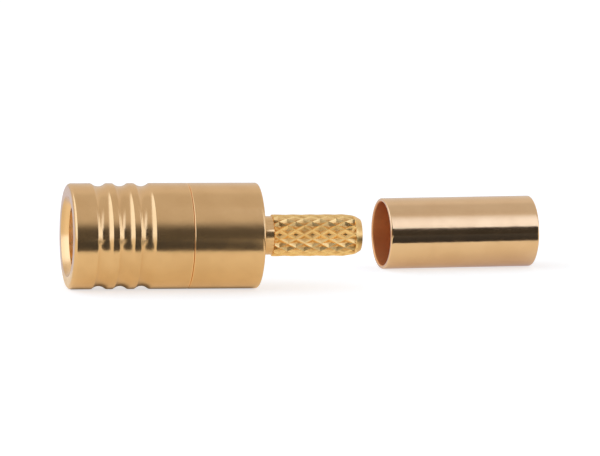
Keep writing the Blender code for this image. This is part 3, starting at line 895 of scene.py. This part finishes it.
def roll_up(sheet):
    """Crowns the sheet's end, rolls it to a tube and lays the tube on the plug's axis."""
    select_points(sheet, lambda place: place.y > KNURL_LENGTH / 2.0 - WELD)
    bpy.ops.transform.translate(
        value=(0.0, 0.0, -CROWN_DROP), use_proportional_edit=True,
        proportional_edit_falloff="SHARP", proportional_size=CROWN_LENGTH)
    bpy.ops.mesh.select_all(action="SELECT")
    bpy.ops.transform.rotate(value=-QUARTER_TURN, orient_axis="X", center_override=ORIGIN)
    bpy.ops.object.mode_set(mode="OBJECT")
    apply_modifier(sheet, "SIMPLE_DEFORM", deform_method="BEND", deform_axis="Z", angle=math.tau)
    bpy.ops.object.mode_set(mode="EDIT")
    weld(ROLL_WELD)
    bpy.ops.mesh.select_all(action="SELECT")
    bpy.ops.transform.translate(value=(0.0, -KNURL_RADIUS, 0.0))
    bpy.ops.transform.rotate(value=KNURL_TURN, orient_axis="Z", center_override=ORIGIN)
    bpy.ops.transform.rotate(value=-QUARTER_TURN, orient_axis="Y", center_override=ORIGIN)
    middle = (KNURL_START + KNURL_END) / 2.0
    bpy.ops.transform.translate(value=PLUG_START + PLUG_AXIS * middle)
    bpy.ops.object.mode_set(mode="OBJECT")


roll_up(knurl)
knurl_ends = [min(v.co.x for v in knurl.data.vertices), max(v.co.x for v in knurl.data.vertices)]
print("knurl from", [round((end - PLUG_START.x) / MM, 3) for end in knurl_ends])

# %% [markdown]
# ## Rear body
#
# The rest of the rear body is turned in one piece with the post: a spigot that seats in
# the shell, the full-size barrel, a square shoulder, the neck, and the plain nose beyond
# the knurl. The lathe leaves it open where the knurl goes. The two are joined, and a
# bridge between their open rims closes each end of the knurl.

# %% Rear body with the knurl let in
SEAM_FACE = 6.82 * MM
SEAM_ROUND = 0.1 * MM
SPIGOT_CHAMFER = 0.03 * MM
REAR_ROUND = 0.14 * MM
SPIGOT_START = 4.58 * MM
SPIGOT_RADIUS = 2.51 * MM
RECESS_RADIUS = 1.84 * MM
RECESS_END = 7.92 * MM
NECK_RADIUS = 1.1 * MM
NECK_FILLET = 0.05 * MM
KNURL_LEAD = 0.05 * MM
POST_BORE = 0.8 * MM
POST_END_RADIUS = 0.93 * MM
POST_END_EDGE = 0.06 * MM
NOSE_MEETS_RIM = 75.0
NOSE_TAPER = 0.95 * MM


def nose_radius(along):
    """Radius of the crowned nose, which falls with the square of the distance."""
    taper = 1.0 - (OVERALL_LENGTH - along) / NOSE_TAPER
    return KNURL_RADIUS - (KNURL_RADIUS - POST_END_RADIUS) * taper ** 2


nose_rim = OVERALL_LENGTH - POST_END_EDGE
nose_places = [KNURL_END + KNURL_LEAD, (KNURL_END + nose_rim) / 2.0]
rim_centre = (nose_rim, POST_END_RADIUS - POST_END_EDGE)
body_profile = [(along, nose_radius(along)) for along in nose_places]
body_profile += arc(rim_centre, POST_END_EDGE, NOSE_MEETS_RIM, 0.0, 5)
body_profile += [
    (OVERALL_LENGTH, POST_BORE),
    (RECESS_END, POST_BORE),
    (RECESS_END, RECESS_RADIUS),
    (SPIGOT_START, RECESS_RADIUS),
    (SPIGOT_START, SPIGOT_RADIUS - SPIGOT_CHAMFER),
    (SPIGOT_START + SPIGOT_CHAMFER, SPIGOT_RADIUS),
    (SEAM_FACE, SPIGOT_RADIUS)]
body_profile += arc((SEAM_FACE + SEAM_ROUND, BODY_RADIUS - SEAM_ROUND), SEAM_ROUND, 180.0, 90.0, 4)
body_profile += [
    (SEAM_FACE + SEAM_ROUND + EDGE_BAND, BODY_RADIUS),
    (BODY_LENGTH - REAR_ROUND - EDGE_BAND, BODY_RADIUS)]
body_profile += arc((BODY_LENGTH - REAR_ROUND, BODY_RADIUS - REAR_ROUND), REAR_ROUND, 90.0, 0.0, 7)
body_profile += arc(
    (BODY_LENGTH + NECK_FILLET, NECK_RADIUS + NECK_FILLET), NECK_FILLET, 180.0, 270.0, 3)
body_profile += [
    (BODY_LENGTH + NECK_FILLET + EDGE_BAND, NECK_RADIUS),
    (KNURL_START - KNURL_LEAD, NECK_RADIUS)]

crimp_body = spin_profile("rear_body", body_profile, PLUG_START, PLUG_AXIS, FACETS)
bpy.ops.object.mode_set(mode="OBJECT")
knurl.select_set(True)
bpy.ops.object.join()
rims = ((KNURL_START - KNURL_LEAD, KNURL_START), (KNURL_END, KNURL_END + KNURL_LEAD))
for low, high in rims:
    select_points(
        crimp_body,
        lambda place: low - WELD < place.x - PLUG_START.x < high + WELD
        and (place - PLUG_START).yz.length > POST_BORE + WELD)
    bpy.ops.mesh.bridge_edge_loops()
bpy.ops.mesh.select_all(action="DESELECT")
bpy.ops.mesh.select_non_manifold(extend=False)
bpy.ops.object.mode_set(mode="OBJECT")
print("open edges:", sum(edge.select for edge in crimp_body.data.edges))
bpy.ops.object.mode_set(mode="EDIT")
close_surface(crimp_body)
finish_piece(crimp_body, turned_gold, "gold_plate", "crimp_body")
crimp_body.data.materials.append(knurled_gold)
for face in crimp_body.data.polygons:
    out = face.center - PLUG_START
    if out.x > KNURL_START - KNURL_LEAD and out.yz.length > POST_BORE + WELD:
        face.material_index = 1
print("faces of the pressed post", sum(face.material_index for face in crimp_body.data.polygons))

# %% [markdown]
# ## Spring collet
#
# The outer contact is a tube of sprung copper alloy. Its front end is sawn into four
# fingers, and a bead inside them springs over the barrel of the mating part. It is turned
# first and then sawn, as the real one would be: each of two crossed blades cuts two slots.

# %% Collet with its sawn fingers
COLLET_FRONT = 0.82 * MM
COLLET_BORE = 1.9 * MM
COLLET_RADIUS = 2.2 * MM
COLLET_WALL = 0.24 * MM
BEAD_RADIUS = 1.76 * MM
BEAD_FRONT = COLLET_FRONT + 0.24 * MM
BEAD_BACK = BEAD_FRONT + 0.16 * MM
BORE_START = BEAD_BACK + 0.28 * MM
COLLET_EDGE = 0.08 * MM
FLANGE_START = 3.74 * MM
FLANGE_END = 4.54 * MM
COLLET_SLOT = 0.3 * MM
SLOT_END = FLANGE_START - 0.7 * MM


def saw_slots(piece, front, end, width, reach):
    """Saws four slots into a tube's front end with two crossed blades, each at 45 degrees."""
    length = end - front + width
    blades = []
    for turn in (45.0, -45.0):
        bpy.ops.object.select_all(action="DESELECT")
        bpy.ops.mesh.primitive_cube_add(size=1.0)
        blade = bpy.context.object
        bpy.ops.object.mode_set(mode="EDIT")
        bpy.ops.mesh.select_all(action="SELECT")
        bpy.ops.transform.resize(value=(length, width, reach * 2.0), center_override=ORIGIN)
        bpy.ops.transform.rotate(
            value=math.radians(turn), orient_axis="X", center_override=ORIGIN)
        middle = PLUG_START + PLUG_AXIS * (end - length / 2.0)
        bpy.ops.transform.translate(value=middle)
        bpy.ops.object.mode_set(mode="OBJECT")
        blades.append(blade)
    for blade in blades:
        bpy.ops.object.select_all(action="DESELECT")
        piece.select_set(True)
        bpy.context.view_layer.objects.active = piece
        apply_modifier(piece, "BOOLEAN", operation="DIFFERENCE", solver="EXACT", object=blade)
        bpy.data.objects.remove(blade, do_unlink=True)
    smooth_shading(piece)
    print(piece.name, "sawn to", len(piece.data.polygons), "faces")


collet_profile = [(BEAD_BACK, BEAD_RADIUS), (BEAD_FRONT, BEAD_RADIUS)]
collet_profile += [
    (COLLET_FRONT, COLLET_RADIUS - COLLET_WALL),
    (COLLET_FRONT, COLLET_RADIUS - COLLET_EDGE)]
collet_profile += arc(
    (COLLET_FRONT + COLLET_EDGE, COLLET_RADIUS - COLLET_EDGE), COLLET_EDGE, 180.0, 90.0, 4)[1:]
collet_profile += [
    (FLANGE_START, COLLET_RADIUS),
    (FLANGE_START, SPIGOT_RADIUS),
    (FLANGE_END, SPIGOT_RADIUS),
    (FLANGE_END, COLLET_BORE),
    (BORE_START, COLLET_BORE)]
collet = turn_on_lathe("sprung_collet", collet_profile)
saw_slots(collet, COLLET_FRONT, SLOT_END, COLLET_SLOT, COLLET_RADIUS + COLLET_SLOT)
finish_piece(collet, spring_metal, "spring_gold", "spring_collet")

# %% [markdown]
# ## Socket contact
#
# The centre contact is a small socket with four tines that grip the pin of the mating
# part. Only its mouth shows, deep in the collet. The collet's two steps make it as well:
# its profile starts and ends on the axis, which leaves it solid between its two holes.

# %% Socket with its tines
CONTACT_START = 1.12 * MM
CONTACT_END = 8.42 * MM
CONTACT_RADIUS = 0.475 * MM
CONTACT_EDGE = 0.06 * MM
COLLAR_RADIUS = 0.65 * MM
COLLAR_START = FLANGE_END - 0.36 * MM
SOCKET_RADIUS = 0.265 * MM
SOCKET_END = CONTACT_START + 2.4 * MM
SOCKET_SLOT = 0.13 * MM
SOCKET_SLOT_END = CONTACT_START + 1.9 * MM
WELL_RADIUS = 0.3 * MM
WELL_END = CONTACT_END - 1.8 * MM
DRILL_POINT = 0.15 * MM
CONTACT_FACETS = 64

contact_profile = [
    (SOCKET_END + DRILL_POINT, 0.0),
    (SOCKET_END, SOCKET_RADIUS)]
contact_profile += arc(
    (CONTACT_START + CONTACT_EDGE, SOCKET_RADIUS + CONTACT_EDGE), CONTACT_EDGE, 270.0, 180.0, 4)
contact_profile += arc(
    (CONTACT_START + CONTACT_EDGE, CONTACT_RADIUS - CONTACT_EDGE), CONTACT_EDGE, 180.0, 90.0, 4)
contact_profile += [
    (COLLAR_START, CONTACT_RADIUS),
    (COLLAR_START, COLLAR_RADIUS),
    (FLANGE_END, COLLAR_RADIUS),
    (FLANGE_END, CONTACT_RADIUS)]
contact_profile += arc(
    (CONTACT_END - CONTACT_EDGE, CONTACT_RADIUS - CONTACT_EDGE), CONTACT_EDGE, 90.0, 0.0, 4)
contact_profile += [
    (CONTACT_END, WELL_RADIUS),
    (WELL_END, WELL_RADIUS),
    (WELL_END - DRILL_POINT, 0.0)]
contact = spin_profile("socket_contact", contact_profile, PLUG_START, PLUG_AXIS, CONTACT_FACETS)
close_surface(contact)
saw_slots(contact, CONTACT_START, SOCKET_SLOT_END, SOCKET_SLOT, CONTACT_RADIUS + SOCKET_SLOT)
finish_piece(contact, spring_metal, "spring_gold", "centre_contact")

# %% [markdown]
# ## Insulators
#
# Two turned fluoropolymer parts hold the contact: a nose in front, whose end face shows
# in the mouth, and a bush behind it that nothing shows. The nose is turned again with a
# finer edge, and the bush only gets its material.

# %% Nose of the insulator
NOSE_START = 1.0 * MM
NOSE_RADIUS = 1.0 * MM
NOSE_EDGE = 0.1 * MM
NOSE_FLANGE = FLANGE_END - 1.1 * MM
NOSE_SEAT = 1.86 * MM
CLEARANCE = 0.03 * MM
CONTACT_HOLE = CONTACT_RADIUS + CLEARANCE
COLLAR_HOLE = COLLAR_RADIUS + CLEARANCE
COLLAR_STEP = COLLAR_START - CLEARANCE

nose_profile = [(NOSE_START, CONTACT_HOLE)]
nose_profile += arc(
    (NOSE_START + NOSE_EDGE, NOSE_RADIUS - NOSE_EDGE), NOSE_EDGE, 180.0, 90.0, 5)
nose_profile += [
    (NOSE_FLANGE, NOSE_RADIUS),
    (NOSE_FLANGE, NOSE_SEAT),
    (FLANGE_END, NOSE_SEAT),
    (FLANGE_END, COLLAR_HOLE),
    (COLLAR_STEP, COLLAR_HOLE),
    (COLLAR_STEP, CONTACT_HOLE)]
nose = turn_on_lathe("insulator_nose", nose_profile)
finish_piece(nose, waxy_white, "fluoropolymer", "front_insulator")
bush = bpy.data.objects["rear_insulator"]
bush.data.materials.clear()
bush.data.materials.append(waxy_white)
